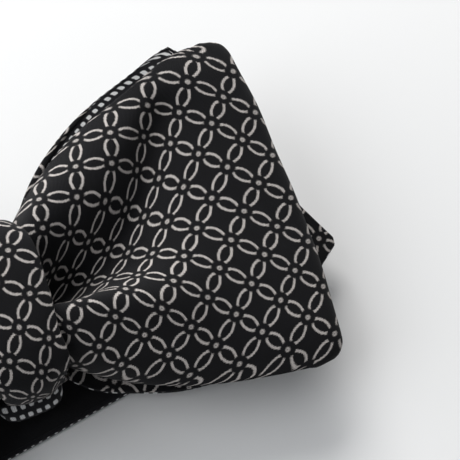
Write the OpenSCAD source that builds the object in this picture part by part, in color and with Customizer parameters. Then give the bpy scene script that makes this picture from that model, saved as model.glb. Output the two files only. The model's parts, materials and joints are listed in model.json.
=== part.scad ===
// Bow tie with a tied knot, lying face up on its unfastened neck band. Sizes are in millimetres.
// +X runs along the bow, +Y towards its top edge and +Z out of its face. The origin is under the
// knot, on the underside of the strap that the bow lies on.

/* [Bow] */
// From the middle of the knot to the outer fold of a wing
wing_reach = 61.5; // [50:0.5:76]
// Half the height of a wing at its outer fold
wing_half_height = 35; // [28:0.5:43]
// Radius of a wing's rounded corners
wing_corner = 5; // [2:0.5:7]
// Radius of the outer fold, over all its layers
wing_fold = 1.4; // [1.3:0.1:3]
// How far the fold stands in front of the back of the knot
fold_standoff = 15.8; // [14:0.1:17]
// From the middle of the knot to the point of the rear bow
rear_reach = 68; // [58:0.5:82]
// Half the height of the rear bow
rear_half_height = 20; // [16:0.5:26]
// Angle of the rear bow's pointed end
point_angle = 110; // [90:5:140]
// Turn of the rear bow behind the front one
rear_turn = -9; // [-12:0.5:0]
// Lean of the bow, its top edge raised
bow_tilt = 10; // [4:0.5:10]

/* [Knot] */
// Half the width of the knot, along the bow
knot_half_width = 9.5; // [7:0.5:12]
// Half the height of the knot
knot_half_height = 17; // [16:0.5:21]
// Half the depth of the knot, from back to front
knot_half_depth = 12; // [11.6:0.1:14]
// Half the height of the gathered cloth in the knot
waist_half_height = 12; // [9:0.5:12]

/* [Cloth] */
// Thickness of the patterned cover, turned edges included
cover_t = 0.45; // [0.2:0.05:0.5]
// Thickness of the interlining
interlining_t = 0.35; // [0.2:0.05:0.4]
// Thickness of the lining
lining_t = 0.4; // [0.2:0.05:0.45]
// Thickness of the binding thread
thread_t = 0.35; // [0.2:0.05:0.4]

/* [Neck band] */
// Width of the neck band
band_w = 20; // [16:0.5:24]
// Thickness of the band's outer and inner faces
band_face_t = 0.5; // [0.3:0.05:0.5]
// Thickness of the band's interlining and of the tapes sewn into its ends
tape_t = 0.6; // [0.4:0.05:0.7]
// Width of the end tapes
tape_w = 18; // [12:0.5:19]
// Length of tape held inside the end of the band
tape_grip = 10; // [6:1:14]
// Where the band folds back under the wing
band_fold_x = 46; // [36:1:50]
// Radius of that fold, at the middle of the band
band_fold = 1.5; // [1.3:0.1:1.6]
// Direction of the strap that the bow lies on
strap_angle = 6.8; // [0:0.2:9]
// Direction of the strap that ends in the eye
eye_strap_angle = 8; // [6:0.5:14]
// From the knot to the end of the band on the hook's side
hook_side_len = 52; // [46:1:54]
// From the knot to the end of the band on the eye's side
eye_side_len = 128; // [110:1:160]

/* [Fastener] */
// From the knot to the slider's middle bar
slider_x = 85; // [82:1:90]
// From the knot to the hook's bar
hook_x = 125; // [120:1:150]
// From the end of the band to the eye's bar
eye_gap = 22; // [18:1:30]
// Diameter of the bars that the tapes go round
bar_d = 1.2; // [1:0.1:1.4]
// Thickness of the pressed metal
metal_t = 0.8; // [0.6:0.05:0.9]
// Width of the side arms of the metal parts
arm_w = 1.2; // [0.8:0.1:1.6]
// Space at each side of a tape in its slot
slot_side = 0.6; // [0.4:0.1:1]
// Half the length of the slider
slider_half_len = 6.5; // [5:0.5:7]
// Width of the hook's tongue
tongue_w = 6; // [4:0.5:8]
// Length of the hook, from its bar to the bend
hook_len = 19; // [16:0.5:24]
// Inner radius of the hook's bend
hook_bend = 1.2; // [0.9:0.1:1.6]
// Length of the opening of the eye, across the strap
eye_slot = 12; // [9:0.5:13]
// Width of the opening of the eye, along the strap
eye_slot_w = 5; // [4.4:0.2:6]

/* [Hidden] */
$fn = 48;

// Colours of the cloths and the metal
cover_colour = [0.16, 0.16, 0.17];
lining_colour = [0.42, 0.42, 0.42];
canvas_colour = [0.8, 0.78, 0.72];
black_colour = [0.08, 0.08, 0.09];
thread_colour = [0.25, 0.25, 0.26];
metal_colour = [0.72, 0.73, 0.75];

bow_layers_t = cover_t + interlining_t + lining_t;
knot_wall = bow_layers_t + 0.2;
band_t = 2 * band_face_t + tape_t;
loose = 0.2;   // gap between pieces that slide or turn past each other
snug = 0.05;   // gap round a bar
bar_r = bar_d / 2;

// Heights in front of the back of the knot, from the back of the bow to its face
knot_mid = knot_half_depth;
// Inner surface of the knot's back at a distance v from its middle line
function knot_inner_back(v) = knot_mid - (knot_half_depth - knot_wall)
    * pow(1 - pow(v / (knot_half_height - knot_wall), 4), 0.25);
band_back = knot_inner_back(band_w / 2 + 0.6) + 0.35;
band_mid = band_back + band_t / 2;
thread_back = band_back + band_t + 0.35;
rear_bow_back = thread_back + thread_t + snug;
front_bow_back = rear_bow_back + bow_layers_t + 0.1;
front_bow_face = 2 * knot_half_depth - 4;
pad_back = front_bow_face + thread_t + 2 * snug;
pad_face = 2 * knot_half_depth - knot_wall - 0.4;

// The knot's back clears the strap below it, at its lowest line too
bow_z = band_t + loose + thread_t + knot_half_height * 0.5 * sin(bow_tilt);
bow_y = 15.5;

function lerp(a, b, t) = a + (b - a) * t;
function ease(a, b, x) = let (t = min(1, max(0, (x - a) / (b - a)))) t * t * (3 - 2 * t);
function reversed(list) = [for (i = [len(list) - 1 : -1 : 0]) list[i]];

module in_bow() translate([0, bow_y, bow_z]) rotate([bow_tilt, 0, 0]) children();
// The hook's strap and the eye's strap each lie along their own -X
module on_hook_strap() rotate([0, 0, strap_angle]) children();
module on_eye_strap() translate([0, band_y, 0]) rotate([0, 0, -eye_strap_angle]) children();

// ---- Extruded helpers ----

// A flat outline given in X and Z, drawn out by w along Y about y = 0
module across(w) rotate([90, 0, 0]) linear_extrude(w, center = true) children();
module box(low, high) translate(low) cube(high - low);

// A strip of thickness t whose middle runs along the given points
function side(points, i) =
    let (a = points[max(0, i - 1)], b = points[min(len(points) - 1, i + 1)], d = b - a)
    [-d[1], d[0]] / norm(d);
module strip(points, t) {
    n = len(points) - 1;
    left = [for (i = [0:n]) points[i] + side(points, i) * t / 2];
    right = [for (i = [n:-1:0]) points[i] - side(points, i) * t / 2];
    polygon(concat(left, right));
}
function arc(centre, r, from, to, n = 10) =
    [for (i = [0:n]) let (a = lerp(from, to, i / n)) centre + r * [cos(a), sin(a)]];

// ---- Front bow: one flattened loop of three cloths ----

fold_u = wing_reach - wing_fold;
function front_face(u) =
    let (top = fold_standoff + wing_fold) top + (front_bow_face - top) * (1 + cos(180 * u / fold_u)) / 2;
function front_back(u) =
    let (low = fold_standoff - wing_fold) low + (front_bow_back - low) * (1 + cos(180 * u / fold_u)) / 2;
function loop_outline(inset) = let (n = 32) concat(
    [for (i = [1:n - 1]) let (u = fold_u * (2 * i / n - 1)) [u, front_face(u) - inset]],
    arc([fold_u, fold_standoff], wing_fold - inset, 90, -90),
    [for (i = [1:n - 1]) let (u = fold_u * (1 - 2 * i / n)) [u, front_back(u) + inset]],
    arc([-fold_u, fold_standoff], wing_fold - inset, 270, 90));

function flare(u, reach, half_height) =
    let (t = min(1, max(0, (u - knot_half_width) / (reach - knot_half_width))))
    waist_half_height + (half_height - waist_half_height) * sin(90 * pow(t, 0.8));
function four_ways(quarter) = concat(
    quarter,
    [for (p = reversed(quarter)) [p[0], -p[1]]],
    [for (p = quarter) [-p[0], -p[1]]],
    [for (p = reversed(quarter)) [-p[0], p[1]]]);

wing_edge = wing_reach + 0.5;
module wing_outline() {
    start = wing_edge - wing_corner;
    quarter = concat(
        [for (i = [1:23]) let (u = start * i / 24) [u, flare(u, start, wing_half_height)]],
        arc([start, wing_half_height - wing_corner], wing_corner, 90, 0, 6));
    polygon(four_ways(quarter));
}
module front_bow_layer(outer, inner) in_bow() intersection() {
    across(3 * wing_half_height) difference() {
        polygon(loop_outline(outer));
        polygon(loop_outline(inner));
    }
    linear_extrude(3 * knot_half_depth) wing_outline();
}
module front_bow_cover() color(cover_colour) front_bow_layer(0, cover_t);
module front_bow_interlining() color(canvas_colour) front_bow_layer(cover_t, cover_t + interlining_t);
module front_bow_lining() color(lining_colour) front_bow_layer(cover_t + interlining_t, bow_layers_t);

// ---- Rear bow: a flat ribbon with pointed ends ----

rear_rise = 1.0;
rear_drop = 1.2;
function rear_back(u) =
    rear_bow_back + rear_rise * ease(knot_half_width, 35, abs(u)) - rear_drop * ease(44, rear_reach, abs(u));
module rear_outline() {
    half = point_angle / 2;
    narrower = 0.6;   // the turned ribbon stays inside the thread round both waists
    shoulder = rear_reach - rear_half_height / tan(half);
    nose = 2;
    quarter = concat(
        [for (i = [1:15]) let (u = shoulder * i / 16)
            [u, flare(u, shoulder, rear_half_height) - narrower * (1 - i / 16)]],
        [[shoulder, rear_half_height]],
        arc([rear_reach - nose, 0], nose, 90 - half, 6, 4));
    polygon(four_ways(quarter));
}
module rear_bow_layer(low, high) {
    n = 30;
    u = [for (i = [0:n]) (rear_reach + 1) * (2 * i / n - 1)];
    in_bow() rotate([0, 0, rear_turn]) intersection() {
        across(3 * rear_half_height) polygon(concat(
            [for (i = [0:n]) [u[i], rear_back(u[i]) + low]],
            [for (i = [n:-1:0]) [u[i], rear_back(u[i]) + high]]));
        linear_extrude(2 * knot_half_depth) rear_outline();
    }
}
module rear_bow_lining() color(lining_colour) rear_bow_layer(0, lining_t);
module rear_bow_interlining() color(canvas_colour) rear_bow_layer(lining_t, lining_t + interlining_t);
module rear_bow_cover() color(cover_colour) rear_bow_layer(lining_t + interlining_t, bow_layers_t);

// ---- Knot: a wrapped band round the gathered bows ----

function squircle(a, b, n = 48) = [for (i = [0:n - 1]) let (c = cos(360 * i / n), s = sin(360 * i / n))
    [a * sign(c) * sqrt(abs(c)), b * sign(s) * sqrt(abs(s))]];
// A ring round the knot's middle, in Y and Z, drawn out along X
module knot_ring(outer, inner, w) translate([0, 0, knot_mid]) rotate([90, 0, 90])
    linear_extrude(w, center = true) difference() {
        polygon(squircle(knot_half_height - outer, knot_half_depth - outer));
        polygon(squircle(knot_half_height - inner, knot_half_depth - inner));
    }
module knot_cover() color(cover_colour) in_bow() knot_ring(0, cover_t, 2 * knot_half_width);
module knot_interlining() color(canvas_colour) in_bow()
    knot_ring(cover_t, knot_wall - lining_t, 2 * knot_half_width - 1);
module knot_lining() color(lining_colour) in_bow()
    knot_ring(knot_wall - lining_t, knot_wall, 2 * knot_half_width - 0.4);
module knot_padding() color(canvas_colour) in_bow() {
    half = [knot_half_width - 2.5, 0.55 * knot_half_height];
    translate([0, 0, pad_back]) linear_extrude(pad_face - pad_back)
        polygon(squircle(half[0], half[1]));
}

// Three turns of thread round the waists of both bows
module centre_tack_thread() color(thread_colour) in_bow() {
    low = rear_bow_back - snug;
    high = front_bow_face + snug;
    half = waist_half_height + snug;
    for (u = [-1.4, 0, 1.4]) translate([u, 0, 0]) rotate([90, 0, 90])
        linear_extrude(1.5 * thread_t, center = true) difference() {
            translate([-half - thread_t, low - thread_t])
                square([2 * (half + thread_t), high - low + 2 * thread_t]);
            translate([-half, low]) square([2 * half, high - low]);
        }
}
// Slip stitches that close the wrap at the back of the knot
module knot_closing_stitches() color(thread_colour) in_bow()
    for (v = [-6:3:6]) translate([-1.2, v - 0.3, -thread_t]) cube([2.4, 0.6, thread_t]);

// ---- Neck band: one strip from the eye, through the knot, folded back to the hook ----

band_y = bow_y - band_mid * sin(bow_tilt);
band_z = bow_z + band_mid * cos(bow_tilt);
low_z = band_t / 2;
high_z = low_z + 2 * band_fold;
fold_y = band_fold_x * tan(strap_angle);
under_wing_angle = atan2(band_y - fold_y, band_fold_x);
under_wing_len = norm([band_fold_x, band_y - fold_y]);
lift_start = knot_half_width + 3;
eye_side_down = 80;

// A station holds the band's middle, the direction of its width and the normal of its outer face
function station(middle, heading, roll, pitch = 90) =
    let (across_way = [sin(heading), cos(heading), 0], along = [cos(heading), -sin(heading), 0],
         up = along * cos(pitch) + [0, 0, sin(pitch)])
    [middle, across_way * cos(roll) + up * sin(roll), up * cos(roll) - across_way * sin(roll)];
function eye_side_station(s) = station(
    [-s * cos(eye_strap_angle), band_y + s * sin(eye_strap_angle),
     lerp(band_z, low_z, ease(lift_start, eye_side_down, s))],
    eye_strap_angle, bow_tilt * (1 - ease(lift_start, 60, s)));
function under_wing_station(s) = station(
    [s * cos(under_wing_angle), band_y - s * sin(under_wing_angle),
     lerp(band_z, high_z, ease(lift_start, under_wing_len, s))],
    under_wing_angle, bow_tilt * (1 - ease(lift_start, under_wing_len - 4, s)));
function fold_station(t) =
    let (heading = lerp(under_wing_angle, -strap_angle, t), pitch = 90 - 180 * t,
         out = [cos(heading), -sin(heading), 0])
    station([band_fold_x, fold_y, low_z + band_fold] + out * band_fold * cos(pitch)
        + [0, 0, band_fold * sin(pitch)], heading, 0, pitch);
function strap_station(x) =
    station([x * cos(strap_angle), x * sin(strap_angle), low_z], -strap_angle, 0, -90);
band_stations = concat(
    [eye_side_station(eye_side_len)],
    [for (i = [0:22]) eye_side_station(lerp(eye_side_len - tape_grip, lift_start, i / 22))],
    [for (i = [0:9]) under_wing_station(lerp(lift_start, under_wing_len - 0.5, i / 9))],
    [for (i = [1:7]) fold_station(i / 8)],
    [for (i = [0:3]) strap_station(
        lerp(band_fold_x / cos(strap_angle) - 0.5, -hook_side_len + tape_grip, i / 3))],
    [strap_station(-hook_side_len)]);

// One layer of the band, from low to high along its normal. It can stop short where the tapes begin.
module band_layer(low, high, short = 0) {
    s = [for (i = [short:len(band_stations) - 1 - short]) band_stations[i]];
    half = band_w / 2;
    n = len(s);
    corners = [for (p = s, c = [[-half, low], [half, low], [half, high], [-half, high]])
        p[0] + p[1] * c[0] + p[2] * c[1]];
    // Opposite faces are cut along the same diagonal, so that a layer fits the next one where the band twists
    walls = [for (i = [0:n - 2], j = [0:3]) let (a = 4 * i + j, b = 4 * i + (j + 1) % 4, c = b + 4, d = a + 4)
        each j < 2 ? [[a, d, c], [a, c, b]] : [[a, d, b], [b, d, c]]];
    last = 4 * n;
    ends = [[0, 1, 2], [0, 2, 3], [last - 1, last - 2, last - 3], [last - 1, last - 3, last - 4]];
    polyhedron(corners, concat(walls, ends));
}
module neck_band_cover() color(lining_colour) band_layer(tape_t / 2, band_t / 2);
module neck_band_interlining() color(canvas_colour) band_layer(-tape_t / 2, tape_t / 2, 1);
module neck_band_backing() color(black_colour) band_layer(-band_t / 2, -tape_t / 2);

// ---- Eye side: tape sewn round the eye's bar ----

loop_r = bar_r + snug + tape_t / 2;
eye_bar_x = -eye_side_len - eye_gap;
eye_bar_z = low_z + loop_r;
eye_tail = 11;
module eye_loop_tape() color(black_colour) on_eye_strap() across(tape_w) {
    strip(concat(
        [[-eye_side_len + tape_grip, low_z]],
        arc([eye_bar_x, eye_bar_z], loop_r, 270, 90, 12),
        [for (i = [1:4]) let (t = i / 4)
            [eye_bar_x + 6 * t, lerp(eye_bar_z + loop_r, low_z + tape_t + snug, ease(0, 1, t))]],
        [[eye_bar_x + eye_tail, low_z + tape_t + snug]]), tape_t);
}
module stitch_rows(x, z, rows = 2) {
    for (row = [0:rows - 1], y = [-3:3]) translate([x + 2 * row, y * tape_w / 8, z])
        cube([0.5, 1.5, thread_t], center = true);
}
module eye_loop_stitches() color(thread_colour) on_eye_strap()
    stitch_rows(eye_bar_x + eye_tail - 3.5, low_z + 1.5 * tape_t + snug + thread_t / 2);

// ---- Metal parts, each drawn with its bar on the Y axis and reaching towards -X ----

arm_y = tape_w / 2 + slot_side;
function droop(z, len) = asin((z - metal_t / 2 - 0.1) / len);
module bar_and_arms(reach) {
    rotate([90, 0, 0]) cylinder(d = bar_d, h = 2 * (arm_y + arm_w), center = true);
    for (side = [-1, 1]) translate([-reach, side * (arm_y + arm_w / 2) - arm_w / 2, -metal_t / 2])
        cube([reach, arm_w, metal_t]);
}
arm_reach = 5;
bridge_w = 3;
module hook_shape() {
    bar_and_arms(arm_reach);
    box([-arm_reach - bridge_w, -arm_y - arm_w, -metal_t / 2], [-arm_reach, arm_y + arm_w, metal_t / 2]);
    box([-hook_len, -tongue_w / 2, -metal_t / 2], [-arm_reach, tongue_w / 2, metal_t / 2]);
    bend_z = metal_t / 2 + hook_bend;
    across(tongue_w) strip(arc([-hook_len, bend_z], hook_bend + metal_t / 2, 270, 90, 12), metal_t);
    box([-hook_len, -tongue_w / 2, bend_z + hook_bend],
        [-hook_len + 7, tongue_w / 2, bend_z + hook_bend + metal_t]);
}
module eye_shape() {
    plate_len = arm_reach + 2 + eye_slot_w + 2;
    bar_and_arms(arm_reach);
    difference() {
        translate([0, 0, -metal_t / 2]) linear_extrude(metal_t) polygon([
            [-arm_reach, arm_y + arm_w], [-arm_reach, -arm_y - arm_w],
            [-arm_reach - 2, -arm_y - arm_w], [-plate_len, -eye_slot / 2 - 1],
            [-plate_len, eye_slot / 2 + 1], [-arm_reach - 2, arm_y + arm_w]]);
        box([-arm_reach - 2 - eye_slot_w, -eye_slot / 2, -1], [-arm_reach - 2, eye_slot / 2, 1]);
    }
}
module eye() color(metal_colour) on_eye_strap() translate([eye_bar_x, 0, eye_bar_z])
    rotate([0, -droop(eye_bar_z, arm_reach + 9), 0]) eye_shape();

// ---- Hook side: tape through the slider, round the hook's bar and back to the slider ----

run_z = metal_t + 2 * loose + tape_t / 2;   // middle of the tape where it passes over the slider
hook_bar_z = run_z + loop_r;
slider_bar_z = run_z + tape_t + loose + loop_r;
ramp_end = 60;
fixed_run_end = 96;
loop_limb = 4;
module adjuster_tape() color(black_colour) on_hook_strap() across(tape_w) strip(concat(
    [[-hook_side_len + tape_grip, low_z], [-hook_side_len, low_z]],
    [for (i = [1:5]) [lerp(-hook_side_len, -ramp_end, i / 5), lerp(low_z, run_z, ease(0, 1, i / 5))]],
    [[-fixed_run_end, run_z]]), tape_t);
module adjuster_tape_stitches() color(thread_colour) on_hook_strap()
    stitch_rows(-hook_side_len + 3, band_t + thread_t / 2);
module sliding_tape_run() color(black_colour) on_hook_strap() across(tape_w)
    strip([[-fixed_run_end, run_z], [-hook_x + loop_limb, run_z]], tape_t);
module hook_loop_tape() color(black_colour) on_hook_strap() across(tape_w) strip(concat(
    [[-hook_x + loop_limb, run_z]],
    arc([-hook_x, hook_bar_z], loop_r, 270, 90, 12),
    [[-hook_x + loop_limb, hook_bar_z + loop_r]]), tape_t);
module hook() color(metal_colour) on_hook_strap() translate([-hook_x, 0, hook_bar_z])
    rotate([0, -droop(hook_bar_z, hook_len), 0]) hook_shape();
module return_tape_run() color(black_colour) on_hook_strap() across(tape_w) {
    from = [-hook_x + loop_limb, hook_bar_z + loop_r];
    to = [-slider_x - loop_limb - 3, slider_bar_z - loop_r];
    strip(concat([from], [for (i = [0:8]) let (t = i / 8)
        [lerp(from[0] + 0.5, to[0] - 0.5, t), lerp(from[1], to[1], ease(0, 1, t))]], [to]), tape_t);
}
module slider_loop_tape() color(black_colour) on_hook_strap() across(tape_w) strip(concat(
    [[-slider_x - loop_limb - 3, slider_bar_z - loop_r]],
    arc([-slider_x, slider_bar_z], loop_r, 270, 450, 12),
    [[-slider_x - loop_limb - 2, slider_bar_z + loop_r - 0.3]]), tape_t);
module slider_loop_stitches() color(thread_colour) on_hook_strap()
    stitch_rows(-slider_x - loop_limb, slider_bar_z + loop_r + tape_t / 2 + thread_t / 2 - 0.05);
// Two end bars under the tape and a middle bar over it, joined by arched sides
module slider_frame() color(metal_colour) on_hook_strap() translate([-slider_x, 0, 0]) {
    low = loose / 2;
    top = low + metal_t;
    for (end = [-1, 1]) translate([end * (slider_half_len - 0.7) - 0.7, -arm_y - arm_w, low])
        cube([1.4, 2 * (arm_y + arm_w), metal_t]);
    translate([0, 0, slider_bar_z]) rotate([90, 0, 0])
        cylinder(d = bar_d, h = 2 * (arm_y + arm_w), center = true);
    for (end = [-1, 1]) translate([0, end * (arm_y + arm_w / 2), 0]) across(arm_w) polygon([
        [-slider_half_len, low], [slider_half_len, low], [slider_half_len, top],
        [bar_d, slider_bar_z + bar_r], [-bar_d, slider_bar_z + bar_r], [-slider_half_len, top]]);
}

front_bow_cover();
front_bow_interlining();
front_bow_lining();
rear_bow_cover();
rear_bow_interlining();
rear_bow_lining();
knot_cover();
knot_interlining();
knot_lining();
knot_padding();
centre_tack_thread();
knot_closing_stitches();
neck_band_cover();
neck_band_interlining();
neck_band_backing();
eye_loop_tape();
eye_loop_stitches();
eye();
adjuster_tape();
adjuster_tape_stitches();
sliding_tape_run();
hook_loop_tape();
hook();
return_tape_run();
slider_loop_tape();
slider_loop_stitches();
slider_frame();
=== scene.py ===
"""A tied bow tie lying face up on its open neck band: the looks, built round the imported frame.

Shapes are worked out in millimetres and turned into metres when a mesh is made. The bow has a
frame of its own: u runs along it, v towards its top edge and w out of its face, from the back of
the knot.
"""
import json
import math

import bmesh
import bpy
import numpy as np
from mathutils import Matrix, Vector


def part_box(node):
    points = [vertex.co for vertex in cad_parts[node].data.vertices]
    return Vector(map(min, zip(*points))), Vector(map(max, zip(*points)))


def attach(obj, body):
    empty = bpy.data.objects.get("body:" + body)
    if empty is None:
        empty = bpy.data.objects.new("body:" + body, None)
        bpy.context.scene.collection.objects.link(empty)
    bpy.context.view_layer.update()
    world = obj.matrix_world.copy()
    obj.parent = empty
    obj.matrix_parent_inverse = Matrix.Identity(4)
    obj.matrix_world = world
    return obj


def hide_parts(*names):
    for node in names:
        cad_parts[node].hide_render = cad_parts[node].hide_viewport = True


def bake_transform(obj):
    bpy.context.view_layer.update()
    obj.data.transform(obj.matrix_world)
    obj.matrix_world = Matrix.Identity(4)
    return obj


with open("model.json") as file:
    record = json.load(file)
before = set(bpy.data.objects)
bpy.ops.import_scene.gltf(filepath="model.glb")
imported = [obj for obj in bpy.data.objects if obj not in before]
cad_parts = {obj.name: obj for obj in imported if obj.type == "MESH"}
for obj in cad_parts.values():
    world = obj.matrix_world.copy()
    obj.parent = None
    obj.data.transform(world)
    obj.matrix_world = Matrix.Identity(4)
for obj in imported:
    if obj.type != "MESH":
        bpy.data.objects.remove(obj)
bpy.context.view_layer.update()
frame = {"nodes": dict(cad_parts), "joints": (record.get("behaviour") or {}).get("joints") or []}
MM = 0.001
joints = {j["name"]: j for j in frame["joints"]}


# ---- Sizes ----
TILT = math.radians(10)  # lean of the bow, its top edge raised
KNOT_W, KNOT_H, KNOT_D = 9.5, 17.0, 12.0  # half the knot's width, height and depth
CLOTH_HALF = 35.0  # half the width of the bow's cloth
BAND_W, BAND_T = 20.0, 1.6  # neck band
TAPE_W, TAPE_T = 18.0, 0.6  # end tapes

# Where the back of the knot stands
knot_low, knot_high = (np.array(corner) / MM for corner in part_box("knot_cover"))
knot_centre = (knot_low + knot_high) / 2
BOW_Y = knot_centre[1] + KNOT_D * math.sin(TILT)
BOW_Z = knot_centre[2] - KNOT_D * math.cos(TILT)


def stacked(*parts):
    """One array of the parts' values, side by side in its last dimension."""
    return np.stack(np.broadcast_arrays(*parts), axis=-1)


def from_bow(p):
    """Points of the bow's frame, in the row frame."""
    u, v, w = p[..., 0], p[..., 1], p[..., 2]
    return stacked(u, BOW_Y + v * math.cos(TILT) - w * math.sin(TILT),
                   BOW_Z + v * math.sin(TILT) + w * math.cos(TILT))


# ---- Camera ----
def look_from(azimuth, elevation, distance, target, lens):
    """A camera at a distance from the target, from azimuth round the front and elevation up."""
    a, e = math.radians(azimuth), math.radians(elevation)
    back = Vector((math.sin(a) * math.cos(e), -math.cos(a) * math.cos(e), math.sin(e)))
    camera = bpy.data.objects.new("camera", bpy.data.cameras.new("camera"))
    camera.location = Vector(target) * MM + back * distance * MM
    camera.rotation_euler = back.to_track_quat("Z", "Y").to_euler()
    camera.data.lens = lens
    camera.data.sensor_width = 36
    camera.data.clip_start = 0.01
    bpy.context.scene.collection.objects.link(camera)
    bpy.context.scene.camera = camera


look_from(-23, 70, 280, (47, 11, 18), 108.5)


# ---- Maths ----
def ease(a, b, x):
    """A smooth step from 0 at a to 1 at b."""
    t = np.clip((np.asarray(x, float) - a) / (b - a), 0, 1)
    return t * t * (3 - 2 * t)


def spline(x, y, q):
    """A natural cubic spline through y at x, read at q. y may have any further dimensions."""
    x, y, q = np.asarray(x, float), np.asarray(y, float), np.asarray(q, float)
    flat = y.reshape(len(x), -1)
    h = np.diff(x)
    n = len(x)
    a = np.zeros((n, n))
    b = np.zeros((n, flat.shape[1]))
    a[0, 0] = a[-1, -1] = 1
    for i in range(1, n - 1):
        a[i, i - 1], a[i, i], a[i, i + 1] = h[i - 1], 2 * (h[i - 1] + h[i]), h[i]
        b[i] = 6 * ((flat[i + 1] - flat[i]) / h[i] - (flat[i] - flat[i - 1]) / h[i - 1])
    m = np.linalg.solve(a, b)
    k = np.clip(np.searchsorted(x, q) - 1, 0, n - 2)
    l, r, hk = (x[k + 1] - q)[:, None], (q - x[k])[:, None], h[k][:, None]
    out = (m[k] * l ** 3 + m[k + 1] * r ** 3) / (6 * hk) \
        + (flat[k] / hk - m[k] * hk / 6) * l + (flat[k + 1] / hk - m[k + 1] * hk / 6) * r
    return out.reshape((len(q),) + y.shape[1:])


def lengths(p):
    """How far along its line each point is; the lines run in the first dimension."""
    steps = np.linalg.norm(np.diff(p, axis=0), axis=-1)
    return np.concatenate([np.zeros_like(steps[:1]), np.cumsum(steps, axis=0)])


SPACING_POWER = 0.7  # under 1, so that a smooth line doesn't swing wide between far points
LINE_SAMPLES = 240


def smooth_line(p):
    """A smooth line through the points, and the distances along it of its samples and of p."""
    steps = np.linalg.norm(np.diff(p, axis=0), axis=1)
    at = np.concatenate([[0], np.cumsum(steps ** SPACING_POWER)])
    q = np.linspace(0, at[-1], LINE_SAMPLES)
    line = spline(at, p, q)
    return line, lengths(line), np.interp(at, q, lengths(line))


def unit(v):
    """Vectors brought to length 1."""
    return v / np.maximum(np.linalg.norm(v, axis=-1, keepdims=True), 1e-9)


def normals(p, closed=False, front=None):
    """Unit normals of a grid of points, turned so that row front faces forwards, if it is given."""
    if closed:
        du = np.roll(p, -1, 0) - np.roll(p, 1, 0)
    else:
        du = np.gradient(p, axis=0)
    nrm = unit(np.cross(du, np.gradient(p, axis=1)))
    if front is not None and nrm[front, p.shape[1] // 2, 2] < 0:
        nrm = -nrm
    return nrm


# ---- Meshes ----
def make_object(name, points_mm, faces, uv=None, smooth=True):
    """A mesh object. uv holds one pair for each vertex, in millimetres of cloth."""
    mesh = bpy.data.meshes.new(name)
    mesh.from_pydata([tuple(p) for p in np.asarray(points_mm) * MM], [], faces)
    if uv is not None:
        layer = mesh.uv_layers.new(name="cloth")
        index = np.zeros(len(mesh.loops), int)
        mesh.loops.foreach_get("vertex_index", index)
        layer.data.foreach_set("uv", np.asarray(uv, float)[index].astype(np.float32).ravel())
    mesh.validate()
    mesh.update()
    if smooth:
        mesh.polygons.foreach_set("use_smooth", [True] * len(mesh.polygons))
    obj = bpy.data.objects.new(name, mesh)
    bpy.context.scene.collection.objects.link(obj)
    return obj


def weld(obj):
    """Joins points in the same place and drops faces that have no area."""
    work = bmesh.new()
    work.from_mesh(obj.data)
    bmesh.ops.remove_doubles(work, verts=work.verts, dist=1e-7)
    bmesh.ops.recalc_face_normals(work, faces=work.faces)
    work.to_mesh(obj.data)
    work.free()


def ring_faces(n, m, closed_rows):
    """Quads between n rings of m points. Each ring is closed; the rows are too, if asked."""
    rows = n if closed_rows else n - 1
    return [(i * m + j, i * m + (j + 1) % m, (i + 1) % n * m + (j + 1) % m, (i + 1) % n * m + j)
            for i in range(rows) for j in range(m)]


def end_caps(rings, size):
    """The two faces that close a run of rings at its first and last ring."""
    return [tuple(range(size))[::-1], tuple((rings - 1) * size + k for k in range(size))]


def slab(name, p, uv, outer, inner, low_border, high_border, closed=False, to_world=from_bow,
         nrm=None):
    """A cloth whose faces lie outer and inner off a grid of points, along the normals.

    A border turns the cloth's edge: pairs of how far out from the edge and how far along the
    normal, from the outer face to the inner one. A closed slab's last row meets its first.
    """
    n, m = p.shape[:2]
    nrm = normals(p, closed) if nrm is None else nrm
    out_low = unit(p[:, 0] - p[:, 1])
    out_high = unit(p[:, -1] - p[:, -2])
    outer = np.broadcast_to(outer, (n, m))[..., None]
    inner = np.broadcast_to(inner, (n, m))[..., None]
    rings, uvs = [p + nrm * outer], [uv]

    def border(pairs, j, out, sign):
        """Rings round an edge, with the cloth's pattern measured along the turn."""
        at, way, turned = (0.0, outer[:, j, 0]), 0.0, []
        for e, o in pairs:
            way = way + np.hypot(e - at[0], o - at[1])
            at = (e, o)
            e, o = np.broadcast_to(e, n)[:, None], np.broadcast_to(o, n)[:, None]
            moved = stacked(np.zeros(n), sign * way)
            point = p[:, j] + out * e + nrm[:, j] * o
            turned.append((point[:, None], (uv[:, j] + moved)[:, None]))
        return turned

    for ring, ring_uv in border(high_border, -1, out_high, 1):
        rings.append(ring)
        uvs.append(ring_uv)
    rings.append((p + nrm * inner)[:, ::-1])
    uvs.append(uv[:, ::-1])
    for ring, ring_uv in border(low_border, 0, out_low, -1)[::-1]:
        rings.append(ring)
        uvs.append(ring_uv)
    ring = np.concatenate(rings, axis=1)
    ring_uv = np.concatenate(uvs, axis=1)
    size = ring.shape[1]
    faces = ring_faces(n, size, closed)
    if not closed:
        faces += end_caps(n, size)
    return make_object(name, to_world(ring.reshape(-1, 3)), faces, ring_uv.reshape(-1, 2))


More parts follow.
